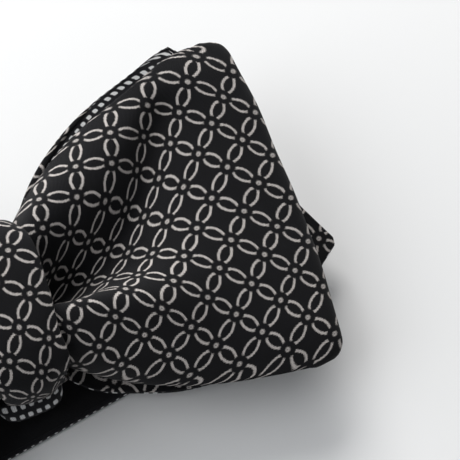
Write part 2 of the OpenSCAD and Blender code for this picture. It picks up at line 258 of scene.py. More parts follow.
# ---- Materials ----
class Nodes:
    """Short calls for building a material's nodes."""

    def __init__(self, name):
        self.material = bpy.data.materials.new(name)
        self.material.use_nodes = True
        self.tree = self.material.node_tree
        self.shader = self.tree.nodes["Principled BSDF"]

    def link(self, value, socket):
        if isinstance(value, bpy.types.NodeSocket):
            self.tree.links.new(value, socket)
        elif value is not None:
            socket.default_value = value

    def math(self, operation, a, b=0.0, c=0.0, clamp=False):
        node = self.tree.nodes.new("ShaderNodeMath")
        node.operation, node.use_clamp = operation, clamp
        for value, socket in zip((a, b, c), node.inputs):
            self.link(value, socket)
        return node.outputs[0]

    def vector(self, operation, a, b=None, scale=None):
        node = self.tree.nodes.new("ShaderNodeVectorMath")
        node.operation = operation
        self.link(a, node.inputs[0])
        self.link(b, node.inputs[1])
        if scale is not None:
            self.link(scale, next(i for i in node.inputs if i.name == "Scale"))
        return node.outputs["Value" if operation in ("DISTANCE", "LENGTH") else "Vector"]

    def uv(self):
        node = self.tree.nodes.new("ShaderNodeUVMap")
        node.uv_map = "cloth"
        return node.outputs[0]

    def split(self, vector):
        node = self.tree.nodes.new("ShaderNodeSeparateXYZ")
        self.link(vector, node.inputs[0])
        return node.outputs

    def join(self, x, y, z=0.0):
        node = self.tree.nodes.new("ShaderNodeCombineXYZ")
        for value, socket in zip((x, y, z), node.inputs):
            self.link(value, socket)
        return node.outputs[0]

    def noise(self, vector, scale, detail):
        node = self.tree.nodes.new("ShaderNodeTexNoise")
        self.link(vector, node.inputs["Vector"])
        node.inputs["Scale"].default_value = scale
        node.inputs["Detail"].default_value = detail
        return node.outputs

    def mix(self, share, a, b):
        node = self.tree.nodes.new("ShaderNodeMix")
        node.data_type = "RGBA"
        self.link(share, node.inputs["Factor"])
        self.link(a, node.inputs["A"])
        self.link(b, node.inputs["B"])
        return node.outputs["Result"]

    def bump(self, height, strength, distance):
        node = self.tree.nodes.new("ShaderNodeBump")
        self.link(height, node.inputs["Height"])
        node.inputs["Strength"].default_value = strength
        node.inputs["Distance"].default_value = distance
        self.link(node.outputs[0], self.shader.inputs["Normal"])

    def surface(self, **values):
        """Sets the shader's own sockets, named with _ for a space."""
        for name, value in values.items():
            self.shader.inputs[name.replace("_", " ")].default_value = value

    def object_mm(self):
        node = self.tree.nodes.new("ShaderNodeTexCoord")
        return self.vector("SCALE", node.outputs["Object"], scale=1000.0)


def rotated(n, uv, angle, scale, shift):
    """Cloth coordinates turned, scaled and then shifted."""
    x, y = n.split(uv)[:2]
    c, s = math.cos(angle) * scale, math.sin(angle) * scale
    a = n.math("MULTIPLY_ADD", x, c, n.math("MULTIPLY_ADD", y, -s, shift[0]))
    b = n.math("MULTIPLY_ADD", x, s, n.math("MULTIPLY_ADD", y, c, shift[1]))
    return n.join(a, b)


def band_mask(n, value, limit, soft):
    """1 where value is under limit, 0 above it, with a soft step."""
    return n.math("MULTIPLY", n.math("SUBTRACT", limit, value), 1 / soft, clamp=True)


THREAD_STEP = 0.65  # how far a woven figure's edge follows the threads, from 0 to 1
WANDER_SCALE = 2.2  # of the noise by which threads stray


def woven_uv(n, thread, wander):
    """Cloth coordinates that step from thread to thread, which gives a figure ragged edges."""
    uv = n.uv()
    x, y = n.split(uv)[:2]
    pick = n.math("FLOOR", n.math("DIVIDE", y, thread))
    odd = n.math("FRACT", n.math("MULTIPLY", pick, 0.5))
    end = n.math("FLOOR", n.math("ADD", n.math("DIVIDE", x, thread), odd))
    stepped = n.join(n.math("MULTIPLY", n.math("SUBTRACT", end, odd), thread),
                     n.math("MULTIPLY", pick, thread))
    stray = n.noise(uv, WANDER_SCALE, 1.0)["Color"]
    stray = n.vector("SCALE", n.vector("SUBTRACT", stray, (0.5, 0.5, 0.5)), scale=wander)
    part = n.vector("ADD", n.vector("SCALE", uv, scale=1 - THREAD_STEP),
                    n.vector("SCALE", stepped, scale=THREAD_STEP))
    return n.vector("ADD", part, stray)


# The lattice, in shares of a cell's side
ARC_RADIUS = 0.48  # of the two arcs that make a lens
ARC_CENTRE = 0.315  # how far beyond the side they are struck from
STROKE, STROKE_SOFT = 0.047, 0.024  # half an arc's breadth, and how softly it ends
CLEAR, CLEAR_SOFT = 0.225, 0.04  # round a crossing, free of arcs
DOT_R, DOT_STROKE, DOT_SOFT = 0.04, 0.052, 0.05  # the dot, a small ring that nearly closes


def lattice_mask(n, uv, pitch, angle, shift):
    """A square lattice with a dot at each crossing and an open lens of two arcs along each side."""
    cell = n.vector("FRACTION", rotated(n, uv, angle, 1 / pitch, shift))
    q = n.vector("ABSOLUTE", n.vector("SUBTRACT", cell, (0.5, 0.5, 0.0)))
    arcs = [n.math("ABSOLUTE", n.math("SUBTRACT", n.vector("DISTANCE", q, centre), ARC_RADIUS))
            for centre in ((0.5 + ARC_CENTRE, 0.0, 0.0), (0.0, 0.5 + ARC_CENTRE, 0.0))]
    stroke = band_mask(n, n.math("MINIMUM", *arcs), STROKE, STROKE_SOFT)
    corner = n.vector("DISTANCE", q, (0.5, 0.5, 0.0))
    clear = n.math("MULTIPLY", n.math("SUBTRACT", corner, CLEAR), 1 / CLEAR_SOFT, clamp=True)
    ring = n.math("ABSOLUTE", n.math("SUBTRACT", corner, DOT_R))
    dot = band_mask(n, ring, DOT_STROKE, DOT_SOFT)
    return n.math("MAXIMUM", n.math("MINIMUM", stroke, clear), dot)


SPOT_SOFT = 0.06  # how softly a spot ends at its sides
SPOT_CUT, CUT_SOFT = 1.62, 0.08  # half across its corners over half across its sides


def spot_mask(n, uv, pitch, shift, half):
    """Rows of small square spots, each row set half a step along from the last."""
    x, y = n.split(n.vector("SCALE", uv, scale=1 / pitch))[:2]
    y = n.math("ADD", y, shift)
    row = n.math("FLOOR", y)
    x = n.math("MULTIPLY_ADD", row, 0.5, x)
    dx = n.math("ABSOLUTE", n.math("SUBTRACT", n.math("FRACT", x), 0.5))
    dy = n.math("ABSOLUTE", n.math("SUBTRACT", n.math("FRACT", y), 0.5))
    square = band_mask(n, n.math("MAXIMUM", dx, dy), half, SPOT_SOFT)
    corners = band_mask(n, n.math("ADD", dx, dy), half * SPOT_CUT, CUT_SOFT)
    return n.math("MINIMUM", square, corners)


def twill_height(n, uv, pitch):
    """Diagonal ribs, with a finer and flatter set across them."""
    x, y = n.split(uv)[:2]
    turn = 2 * math.pi / pitch
    a = n.math("SINE", n.math("MULTIPLY", n.math("ADD", x, y), turn))
    cross = n.math("SUBTRACT", x, n.math("MULTIPLY", y, 0.5))
    b = n.math("SINE", n.math("MULTIPLY", cross, 1.7 * turn))
    return n.math("MULTIPLY_ADD", b, 0.5, a)


TWILL = 0.34  # mm between the ribs of the weave
PLY = 0.42  # mm between the turns of the figure's thread


def finish_cloth(n, mask, ground, figure, uv, weave=TWILL, bump=0.5, sheen=0.07):
    """Ground and figure colours with slub and wear, a twill bump and a cotton surface."""
    slub = n.noise(uv, 0.35, 3.0)["Fac"]
    fleck = n.noise(uv, 5.0, 2.0)["Fac"]
    shade = n.math("MULTIPLY_ADD", slub, 0.6, n.math("MULTIPLY_ADD", fleck, 1.0, 0.2))
    ground = n.vector("SCALE", ground, scale=shade)
    if mask is None:
        colour = ground
    else:
        x, y = n.split(uv)[:2]
        ply = n.math("SINE", n.math("MULTIPLY", n.math("ADD", x, y), 2 * math.pi / PLY))
        wear = n.math("MULTIPLY_ADD", ply, 0.16, n.math("MULTIPLY_ADD", fleck, 0.5, 0.72))
        colour = n.mix(mask, ground, n.vector("SCALE", figure, scale=wear))
    n.link(colour, n.shader.inputs["Base Color"])
    height = n.math("MULTIPLY_ADD", fleck, 0.8, twill_height(n, uv, weave))
    if mask is not None:
        height = n.math("MULTIPLY_ADD", mask, 1.2, height)
    n.bump(height, bump, 0.06 * MM)
    n.surface(Roughness=0.88, Specular_IOR_Level=0.16, Sheen_Weight=sheen, Sheen_Roughness=0.5)
    return n.material


GROUND = (0.005, 0.005, 0.0062)
FIGURE = (0.53, 0.49, 0.465)
PITCH = 6.8  # side of the lattice's cells
LINING_GROUND = (0.011, 0.011, 0.013)
LINING_FIGURE = (0.72, 0.72, 0.72)
SPOT_PITCH = 2 * (CLOTH_HALF + 0.5) / 40


def patterned_cloth(name, angle, shift):
    """Cloth with the lattice, turned by an angle and shifted by shares of a cell."""
    n = Nodes(name)
    uv = n.uv()
    mask = lattice_mask(n, woven_uv(n, 0.3, 0.2), PITCH, angle, shift)
    return finish_cloth(n, mask, GROUND, FIGURE, uv)


def spotted_lining(name, shift=0.0, half=0.3):
    """Cloth with rows of spots, shifted across the rows. half is of a spot's side, in steps."""
    n = Nodes(name)
    uv = n.uv()
    mask = spot_mask(n, woven_uv(n, 0.12, 0.12), SPOT_PITCH, shift, half)
    return finish_cloth(n, mask, LINING_GROUND, LINING_FIGURE, uv)


def plain_cloth(name, colour, weave=TWILL, bump=0.6):
    """Cloth of one colour, with a weave."""
    n = Nodes(name)
    return finish_cloth(n, None, colour, None, n.uv(), weave, bump, 0.1)


def lattice_shift(s, t):
    """Brings a crossing to cloth position (s, t) on a lattice turned by 45 degrees."""
    c = math.sqrt(0.5) / PITCH
    return -(s - t) * c, -(s + t) * c


# The front bow has a crossing just inside its outer fold, near the middle of the cloth's width
cover_cloth = patterned_cloth("patterned_cloth", math.radians(45), lattice_shift(1.6, -2.0))
knot_cloth = patterned_cloth("knot_cloth", math.radians(51), (0.32, 0.1))
rear_cloth = patterned_cloth("rear_cloth", math.radians(45), (0.3, 0.1))
lining_cloth = spotted_lining("spotted_lining")
black_cloth = plain_cloth("black_cloth", (0.009, 0.009, 0.0105))
canvas = plain_cloth("interlining", (0.6, 0.57, 0.5), 0.7, 0.8)
band_cloth = spotted_lining("band_lining", 0.6, 0.22)
wadding = plain_cloth("wadding", (0.7, 0.68, 0.62), 0.9, 1.0)
thread = plain_cloth("thread", (0.012, 0.012, 0.013), 0.25, 0.8)


RIB = 0.55  # mm between the tape's ribs


def ribbed_tape(name):
    """Black ribbon with fine ribs across it."""
    n = Nodes(name)
    uv = n.uv()
    along = n.split(uv)[0]
    rib = n.math("SINE", n.math("MULTIPLY", along, 2 * math.pi / RIB))
    fleck = n.noise(uv, 4.0, 2.0)["Fac"]
    shade = n.math("MULTIPLY_ADD", rib, 0.2, n.math("MULTIPLY_ADD", fleck, 0.6, 0.7))
    n.link(n.vector("SCALE", (0.011, 0.011, 0.013), scale=shade), n.shader.inputs["Base Color"])
    n.bump(n.math("MULTIPLY_ADD", fleck, 0.4, rib), 0.5, 0.1 * MM)
    n.surface(Roughness=0.75, Specular_IOR_Level=0.22, Sheen_Weight=0.1)
    return n.material


def plated_metal(name):
    """Nickel plate with faint clouds and fine scratches along X."""
    n = Nodes(name)
    mm = n.object_mm()
    cloud = n.noise(mm, 0.25, 3.0)["Fac"]
    scratch = n.noise(n.vector("MULTIPLY", mm, (0.6, 9.0, 9.0)), 1.0, 2.0)["Fac"]
    colour = n.mix(cloud, (0.36, 0.355, 0.345, 1), (0.47, 0.465, 0.455, 1))
    n.link(colour, n.shader.inputs["Base Color"])
    n.link(n.math("MULTIPLY_ADD", cloud, 0.16, n.math("MULTIPLY_ADD", scratch, 0.12, 0.14)),
           n.shader.inputs["Roughness"])
    n.bump(scratch, 0.12, 0.03 * MM)
    n.surface(Metallic=1.0)
    return n.material


tape_cloth = ribbed_tape("ribbed_tape")
nickel = plated_metal("nickel_plate")


def dress(obj, material, slot, body="root", stands_for=()):
    """Material, body and the CAD nodes that the piece stands for. slot is not used."""
    obj.data.materials.clear()
    obj.data.materials.append(material)
    if body:
        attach(obj, body)
    if stands_for:
        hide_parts(*stands_for)


def dress_layers(part, cloth, cut, **pieces):
    """Dresses a sewn part's layers, each named as its CAD node is. cut is not used."""
    finishes = {"cover": (cloth, "patterned_cloth"), "lining": (lining_cloth, "spotted_lining"),
                "interlining": (canvas, "interlining")}
    for layer, piece in pieces.items():
        dress(piece, *finishes[layer], stands_for=[part + "_" + layer])


# ---- Front bow ----
# Cross-sections of the panels: (v, w) from the lower edge to the top edge at each distance u.
NET_U = (7, 12, 20, 30, 42, 50, 58)
# The front's lower lobe hangs over a deep fold that climbs towards the top edge and fades out
FRONT_NET = (
    ((-14.5, 11.7), (-12.3, 16.4), (-7.6, 19.6), (-4.0, 19.6), (-3.5, 14.6), (-2.2, 9.6),
     (0.0, 9.4), (2.6, 13.0), (5.8, 18.0), (10.2, 18.8), (15.2, 13.6)),
    ((-18.6, 12.3), (-15.7, 16.8), (-10.0, 20.3), (-5.2, 20.9), (-4.3, 15.8), (-2.4, 10.4),
     (1.2, 10.0), (5.8, 14.0), (10.2, 18.8), (14.7, 19.4), (19.2, 15.2)),
    ((-23.8, 13.4), (-20.1, 16.8), (-12.8, 19.8), (-6.6, 20.9), (-4.6, 17.4), (-1.6, 13.0),
     (1.8, 11.6), (5.4, 13.0), (10.4, 18.2), (17.2, 20.5), (24.5, 16.6)),
    ((-28.4, 14.5), (-24.4, 16.6), (-16.8, 19.2), (-9.6, 20.9), (-5.6, 19.2), (-1.4, 16.4),
     (3.4, 14.6), (8.4, 13.9), (13.4, 17.0), (20.8, 20.1), (28.9, 17.2)),
    ((-31.8, 15.4), (-27.3, 17.0), (-19.2, 18.6), (-10.6, 19.5), (-3.4, 18.9), (3.8, 17.9),
     (11.2, 17.0), (18.6, 16.2), (24.6, 16.6), (28.8, 18.4), (33.1, 17.6)),
    ((-33.4, 15.7), (-28.1, 17.3), (-20.0, 18.4), (-12.0, 18.6), (-4.0, 18.4), (4.0, 18.2),
     (12.0, 18.0), (19.4, 18.0), (25.8, 18.4), (31.0, 18.6), (35.6, 17.4)),
    ((-34.6, 15.9), (-28.3, 16.9), (-20.4, 17.2), (-12.2, 17.3), (-4.0, 17.3), (4.2, 17.3),
     (12.4, 17.3), (19.6, 17.3), (25.8, 17.3), (31.0, 17.2), (35.4, 16.2)),
)
# Where the cut edges of the tapered cloth lie across it, at the same distances
CLOTH_LOW = (-27.3, -29.2, -31.9, -33.4, -34.8, -35.6, -35.9)
CLOTH_HIGH = (30.9, 31.6, 33.3, 32.8, 32.4, 33.9, 34.6)
HOLLOW = (3, 7)  # the points of the front net between which spare cloth is hidden
REAR_NET = (
    ((-13.4, 8.0), (-9.0, 7.2), (-5.0, 6.9), (0.0, 6.9), (5.0, 7.1), (9.8, 8.3), (14.2, 10.2)),
    ((-17.0, 8.4), (-11.5, 7.5), (-6.0, 7.0), (1.0, 7.0), (8.0, 7.9), (14.6, 9.6), (20.7, 11.2)),
    ((-22.0, 9.2), (-16.0, 8.3), (-8.0, 7.6), (2.0, 7.8), (11.0, 9.0), (19.6, 11.0), (27.4, 12.4)),
    ((-26.2, 10.8), (-19.0, 9.9), (-9.0, 9.3), (3.0, 9.5), (14.0, 10.6), (24.5, 12.6),
     (32.5, 13.6)),
    ((-30.8, 12.8), (-23.0, 12.0), (-10.0, 11.5), (4.0, 11.7), (18.0, 12.2), (28.4, 13.4),
     (36.2, 14.6)),
    ((-32.7, 13.9), (-24.0, 13.0), (-12.0, 12.8), (0.0, 12.8), (12.0, 13.0), (24.0, 13.6),
     (38.0, 14.8)),
    ((-34.6, 15.0), (-24.0, 14.2), (-12.0, 13.9), (0.0, 13.9), (12.0, 14.0), (24.0, 14.2),
     (35.4, 15.2)),
)
COLUMNS, ROWS, TABLE_ROWS = 150, 110, 90  # of a face's mesh, and of the surface it is read from
FOLD_DEPTH = 3.2  # the outer fold turns over this length
FOLD_STEPS = 15
FOLD_U = 61.5  # where the outer fold stands
FOLD_LOW, FOLD_HIGH = -34.6, 35.4  # its lower and upper ends
CORNER_R = 4.0
DRAWN_IN, LOBE = 0.042, 36.0  # how far the lobes draw the weave in, and their spacing
CELLS_BETWEEN = 200  # lattice cells counted from one outer fold to the other


class Panel:
    """One face of a wing: a smooth surface through its net, read at any u in each column."""

    def __init__(self, net, hollow=None):
        self.u = np.linspace(NET_U[0], NET_U[-1], TABLE_ROWS)
        lows, highs = (spline(NET_U, edge, self.u) for edge in (CLOTH_LOW, CLOTH_HIGH))
        share = np.linspace(0, 1, COLUMNS)
        self.points, self.t = [], []
        for points, low, high in zip(spline(NET_U, net, self.u), lows, highs):
            line, along, marks = smooth_line(points)
            where = share * along[-1]
            self.points.append(stacked(*(np.interp(where, along, line[:, k]) for k in (0, 1))))
            if hollow:
                from_low, from_high = low + where, high - along[-1] + where
                passed = ease(marks[hollow[0]], marks[hollow[1]], where)
                self.t.append(from_low + (from_high - from_low) * passed)
            else:
                self.t.append(low + (high - low) * share)
        self.points, self.t = np.array(self.points), np.array(self.t)

    def at(self, u):
        """Points and positions across the cloth at u[i, j], where j is the column."""
        def read(table):
            return np.stack([np.interp(u[:, j], self.u, table[:, j]) for j in range(COLUMNS)], 1)

        v, w = (read(self.points[..., k]) for k in (0, 1))
        return stacked(u, v, w), read(self.t)


def fold_line():
    """Where the outer fold stands in each column: slightly bowed, with rounded corners."""
    v = np.linspace(FOLD_LOW, FOLD_HIGH, COLUMNS)
    swell = 0.5 * np.exp(-((v - 20) / 9) ** 2)
    drawn = np.where(v > 0, 1.2, 3.4) * np.abs(v / CLOTH_HALF) ** 1.8
    inside = np.maximum(v - (FOLD_HIGH - CORNER_R), FOLD_LOW + CORNER_R - v)
    inside = np.clip(inside, 0, CORNER_R)
    return FOLD_U + swell - drawn - (CORNER_R - np.sqrt(CORNER_R ** 2 - inside ** 2)) * 0.9


def half_loop(front, rear):
    """The right half of the loop: out along the front panel, round the fold and back behind."""
    fold_u = fold_line() - FOLD_DEPTH
    steps = np.linspace(0, 1, ROWS)[:, None]
    u = NET_U[0] + (fold_u[None] - NET_U[0]) * steps
    face, face_t = front.at(u)
    back, back_t = rear.at(u[::-1])
    # The strip of the rear edge that shows past the front one stops short of the corner
    step_back = 2.6 * ease(49.8, 52.4, back[..., 0]) * (1 - ease(53.5, 57.5, back[..., 0]))
    back[..., 1] -= step_back * ease(29, 37.5, back[..., 1])
    turn = np.linspace(0, math.pi, FOLD_STEPS + 2)[1:-1, None]
    middle = (face[-1] + back[0]) / 2
    half = (face[-1] - back[0]) / 2
    roll = middle[None] + half[None] * np.cos(turn)[..., None]
    roll[..., 0] = fold_u[None] + FOLD_DEPTH * np.sin(turn)
    points = np.concatenate([face, roll, back])
    t = np.concatenate([face_t, np.broadcast_to(face_t[-1], (FOLD_STEPS, COLUMNS)), back_t])
    along = lengths(points)
    crown = len(face) + FOLD_STEPS // 2
    spread = 1 - DRAWN_IN * np.cos(2 * np.pi * (t + 1) / LOBE)
    return points, stacked((along[crown] - along) * spread, t)


def whole_loop():
    """Both halves, joined through the knot into one closed loop."""
    right, right_uv = half_loop(Panel(FRONT_NET, HOLLOW), Panel(REAR_NET))
    left, left_uv = right.copy(), right_uv.copy()
    left[..., 0] *= -1
    left_uv[..., 0] = CELLS_BETWEEN * PITCH - left_uv[..., 0]
    left, left_uv = left[::-1], left_uv[::-1]
    share = np.linspace(0, 1, 7)[1:-1, None, None]

    def joined(a, b):
        """Both halves, with a bridge from the last row of each to the first row of the other."""
        return np.concatenate([a, a[-1] * (1 - share) + b[0] * share,
                               b, b[-1] * (1 - share) + a[0] * share])

    return joined(right, left), joined(right_uv, left_uv)


def front_bow():
    """The front bow's cover, lining and canvas, each a closed loop."""
    p, uv = whole_loop()
    nrm = normals(p, True, 10)
    # Waves of the left half alone, then small ones of both
    left = p[:, :, 0] < 0
    p[..., 2] += np.where(left, 0.5 * np.sin(p[..., 0] / 8) * np.sin(p[..., 1] / 11), 0)
    p += nrm * (0.12 * np.sin(p[..., :1] / 4.1 + p[..., 1:2] / 6.3) * np.sin(p[..., 1:2] / 5.2))
    facing = nrm[:, COLUMNS // 2, 2]
    behind = ease(-0.2, 0.6, -facing)
    # 1 where the cover is turned over the rear edge, which is near the knot
    near = behind * (1 - ease(26, 32, np.abs(p[:, -1, 0])))
    plain = [(0.12, 0.5), (0.24, 0.3), (0.12, 0.14)]
    turned = [(0.3, 0.45), (0.45 + 0.25 * near, 0.1), (0.4 + 0.3 * near, -0.3),
              (0.2 + 0.2 * near, -0.62), (0.1 - 1.4 * near, -0.64 - 0.06 * near),
              (0.1 - 1.5 * near, -0.5), (0.12 - 1.2 * near, 0.0), (0.06 - 0.5 * near, 0.14)]
    cover = slab("front_bow_cloth", p, uv, 0.60, 0.14, plain, turned, True, nrm=nrm)
    lining = slab("front_bow_lining_cloth", p, uv, -0.14, -0.56,
                  [(0.3, 0.02), (0.5, 0.06), (0.58, -0.12), (0.48, -0.38), (0.2, -0.55)],
                  [(0.2 - 1.5 * near, -0.14), (0.45 - 1.9 * near, -0.2), (0.5 - 1.9 * near, -0.4),
                   (0.3 - 1.7 * near, -0.5), (0.1 - 1.6 * near, -0.55)], True, nrm=nrm)
    inner = slab("front_bow_canvas", p, uv, 0.1, -0.1, [(0.0, 0.0)], [(-1.6 * near, 0.0)], True,
                 nrm=nrm)
    dress_layers("front_bow", cover_cloth, (72.5, 250.0, "folded", ["rear_bow_cloth"], 0.95),
                 cover=cover, lining=lining, interlining=inner)


front_bow()


# ---- Rear bow ----
REAR_TURN = math.radians(-9)  # of the rear bow, in the front bow's face
REAR_TIP = 68.5  # from the knot to its points
REAR_W = 5.35  # in front of the knot's back
STEEP, SHALLOW = 1.57, 0.97  # slopes of the two edges that meet at a point
# Half its height at each distance along it
REAR_HALF = ((0, 12.4), (5, 12.8), (8, 15.0), (12, 18.0), (20, 20.9), (30, 22.9), (38, 22.8),
             (48, 21.8), (70, 21.5))


def rear_bow():
    """The flat pointed bow behind: cover, lining and canvas."""
    n, m = 160, 60
    u = np.linspace(-REAR_TIP, REAR_TIP, n)
    share = np.linspace(-1, 1, m)
    body = spline(*np.array(REAR_HALF).T, np.abs(u))
    left_to_tip = np.maximum(REAR_TIP - np.abs(u), 0)
    steep, shallow = left_to_tip * STEEP + 0.6, left_to_tip * SHALLOW + 0.6
    top = np.minimum(body, np.where(u > 0, steep, shallow))
    bottom = np.minimum(body, np.where(u > 0, shallow, steep))
    v = share * np.where(share > 0, top[:, None], bottom[:, None])
    pleat = 0.25 * np.exp(-((np.abs(u) - 9) / 13) ** 2)[:, None] * np.cos(3 * np.pi * share)[None]
    rise = 1.0 * ease(10, 35, np.abs(u)) - 1.2 * ease(44, 68, np.abs(u))
    w = REAR_W + rise[:, None] + pleat
    c, s = math.cos(REAR_TURN), math.sin(REAR_TURN)
    u = u[:, None]
    p = stacked(u * c - v * s, u * s + v * c, w)
    uv = stacked(u, v)
    nrm = normals(p, False, n // 2)
    edge = [(0.1, 0.42), (0.2, 0.25), (0.1, 0.12)]
    cover = slab("rear_bow_cloth", p, uv, 0.5, 0.1, edge, edge, nrm=nrm)
    lip = [(0.25, -0.05), (0.4, -0.15), (0.4, -0.35), (0.2, -0.5)]
    lining = slab("rear_bow_lining_cloth", p, uv, -0.1, -0.5, lip, lip, nrm=nrm)
    bare = [(0.0, 0.0)]
    inner = slab("rear_bow_canvas", p, uv, 0.07, -0.07, bare, bare, nrm=nrm)
    dress_layers("rear_bow", rear_cloth, (43.2, 137.0, "laid", ["band_outer_cloth"], 0.8),
                 cover=cover, lining=lining, interlining=inner)


rear_bow()


# ---- Knot ----
KNOT_DROP, KNOT_RISE = 1.9, 0.9  # added to its height below and above
SQUARENESS = 2 / 3  # of its cross-section: 1 is an ellipse, 0 a box
# Half its width on each side, from its foot (-1) to its top (1)
KNOT_RIGHT = ((-1, 5.4), (-0.8, 7.2), (-0.45, 7.7), (0, 8.8), (0.5, 9.0), (0.8, 8.0), (1, 6.2))
KNOT_LEFT = ((-1, 6.6), (-0.8, 8.0), (-0.45, 8.8), (0, 8.8), (0.5, 8.6), (0.8, 7.8), (1, 6.4))


def knot():
    """The wrap round both bows and the band: cover, canvas and lining, each a closed ring."""
    n, m = 220, 66
    angle = np.linspace(0, 2 * np.pi, n, endpoint=False)
    x = np.linspace(-1, 1, m)[None]
    c, s = np.cos(angle)[:, None], np.sin(angle)[:, None]
    bulge = 1 - 0.085 * np.abs(x) ** 3
    height = KNOT_H - 0.5 + KNOT_DROP * ease(0, 1, -c) + KNOT_RISE * ease(0, 1, c)
    v = height * np.sign(c) * np.abs(c) ** SQUARENESS * bulge
    w = KNOT_D + (KNOT_D - 0.5) * np.sign(s) * np.abs(s) ** SQUARENESS * bulge
    right = spline(*np.array(KNOT_RIGHT).T, c[:, 0])[:, None]
    left = spline(*np.array(KNOT_LEFT).T, c[:, 0])[:, None]
    u = np.where(x > 0, x * right, x * left)
    crease = 0.3 * np.sin(5 * angle[:, None] + 2.0 * x) * ease(0.5, 1.0, np.abs(x)) \
        - 0.5 * np.exp(-((x * 9 - 3 + 3 * c) / 2.2) ** 2) * ease(0.3, 0.9, -c)
    p = stacked(u, v, w)
    nrm = normals(p, True, n // 4)
    p = p + nrm * crease[..., None]
    along = lengths(np.concatenate([p[:, m // 2], p[:1, m // 2]]))
    uv = stacked(x * 9.2, along[:-1, None])
    edge = [(0.25, 0.3), (0.4, 0.0)]
    cover = slab("knot_cloth_wrap", p, uv, 0.45, 0.0, edge, edge, True, nrm=nrm)
    edge = [(-0.3, -0.2)]
    inner = slab("knot_canvas", p, uv, -0.02, -0.4, edge, edge, True, nrm=nrm)
    edge = [(0.1, -0.5), (0.15, -0.8)]
    lining = slab("knot_lining_wrap", p, uv, -0.42, -0.9, edge, edge, True, nrm=nrm)
    dress_layers("knot", knot_cloth, (18.0, 92.0, "folded", ["front_bow_cloth"]),
                 cover=cover, interlining=inner, lining=lining)


LIP_MIDDLE, LIP_HALF, LIP_REACH = -2.6, 6.6, 3.6  # along the knot's foot, and down from it


def knot_lip():
    """The end of the knot's wrap, whose lining shows as a crescent under the knot's foot."""
    n, m = 40, 16
    along = np.linspace(-1, 1, n)
    share = np.linspace(0, 1, m)[None]
    reach = LIP_REACH * np.sqrt(np.clip(1 - along ** 4, 0, 1))[:, None]
    u = (LIP_MIDDLE + LIP_HALF * along)[:, None]
    v = -KNOT_H - reach * np.sin(share * 2.0) / 0.95
    w = 9.5 - 1.6 * share - 1.6 * (1 - np.cos(share * 2.2))
    p = stacked(u, v, w)
    uv = stacked(u, share * 5)
    rolled = [(0.25, 0.2), (0.35, 0.0), (0.25, -0.2)]
    lip = slab("knot_lining_lip", p, uv, 0.3, -0.3, [(0.2, 0.0)], rolled)
    dress(lip, lining_cloth, "spotted_lining")


PAD_LOW, PAD_HIGH = KNOT_D * 2 - 3.5, KNOT_D * 2 - 1.9
PAD_U, PAD_V = 6.8, 9.2  # half its length and height


def knot_pad():
    """The wad of filling under the front of the knot."""
    n, m = 48, 18
    a = np.linspace(0, 2 * np.pi, n, endpoint=False)[:, None]
    b = np.linspace(-np.pi / 2, np.pi / 2, m)[None]
    ring = np.cos(b) ** 0.5
    c, s = np.cos(a), np.sin(a)
    u = PAD_U * np.sign(c) * np.abs(c) ** 0.7 * ring
    v = PAD_V * np.sign(s) * np.abs(s) ** 0.7 * ring
    w = (PAD_LOW + PAD_HIGH) / 2 + (PAD_HIGH - PAD_LOW) / 2 * np.sin(b)
    faces = [(i * m + j, (i + 1) % n * m + j, (i + 1) % n * m + j + 1, i * m + j + 1)
             for i in range(n) for j in range(m - 1)]
    pad = make_object("knot_pad", from_bow(stacked(u, v, w).reshape(-1, 3)), faces,
                      stacked(u, v).reshape(-1, 2))
    weld(pad)
    dress(pad, wadding, "wadding", stands_for=["knot_padding"])


knot()
knot_lip()
knot_pad()


# ---- Threads ----
SIDES = 8  # of a thread


def tube(path, radius):
    """Points and faces of a round tube along a path, closed at both ends."""
    tangent = unit(np.gradient(path, axis=0))
    guide = (0.0, 0.0, 1.0) if abs(tangent[0, 2]) < 0.9 else (1.0, 0.0, 0.0)
    side = unit(np.cross(tangent[0], guide))
    sides_at = []
    for t in tangent:
        side = unit(side - t * (side @ t))
        sides_at.append(side)
    side = np.array(sides_at)
    up = np.cross(tangent, side)
    turn = np.linspace(0, 2 * np.pi, SIDES, endpoint=False)
    rings = path[:, None] + radius * (
        side[:, None] * np.cos(turn)[:, None] + up[:, None] * np.sin(turn)[:, None])
    faces = ring_faces(len(path), SIDES, False) + end_caps(len(path), SIDES)
    return rings.reshape(-1, 3), faces


def tubes(name, paths, radius):
    """One object of several tubes."""
    points, faces, uvs, start = [], [], [], 0
    for path in paths:
        p, f = tube(path, radius)
        points.append(p)
        faces += [tuple(i + start for i in face) for face in f]
        start += len(p)
        along = np.repeat(lengths(path), SIDES)
        around = np.tile(np.arange(SIDES), len(path)) * (2 * math.pi * radius / SIDES)
        uvs.append(stacked(along, around))
    return make_object(name, np.concatenate(points), faces, np.concatenate(uvs))


STITCH_DEPTH, STITCH_POINTS = 0.25, 9


def stitch(a, b, out):
    """A short stitch over the surface from a to b, with both ends gone into the cloth."""
    a, b, out = (np.asarray(x, float) for x in (a, b, out))
    t = np.linspace(0, 1, STITCH_POINTS)[:, None]
    return a + (b - a) * t + out * (STITCH_DEPTH * (np.sin(np.pi * t) * 1.7 - 0.9))


def tack_thread():
    """Thread wound three times round the waists of both bows, under the knot."""
    turns, steps = 3, 240
    t = np.linspace(0, turns, steps)
    c, s = np.cos(2 * np.pi * t), np.sin(2 * np.pi * t)
    power = 0.42
    v = 13.5 * np.sign(c) * np.abs(c) ** power
    w = 12.75 + 8.35 * np.sign(s) * np.abs(s) ** power
    path = from_bow(stacked(-1.9 + 3.8 * t / turns, v, w))
    dress(tubes("waist_thread", [path], 0.2), thread, "thread", stands_for=["centre_tack_thread"])


tack_thread()


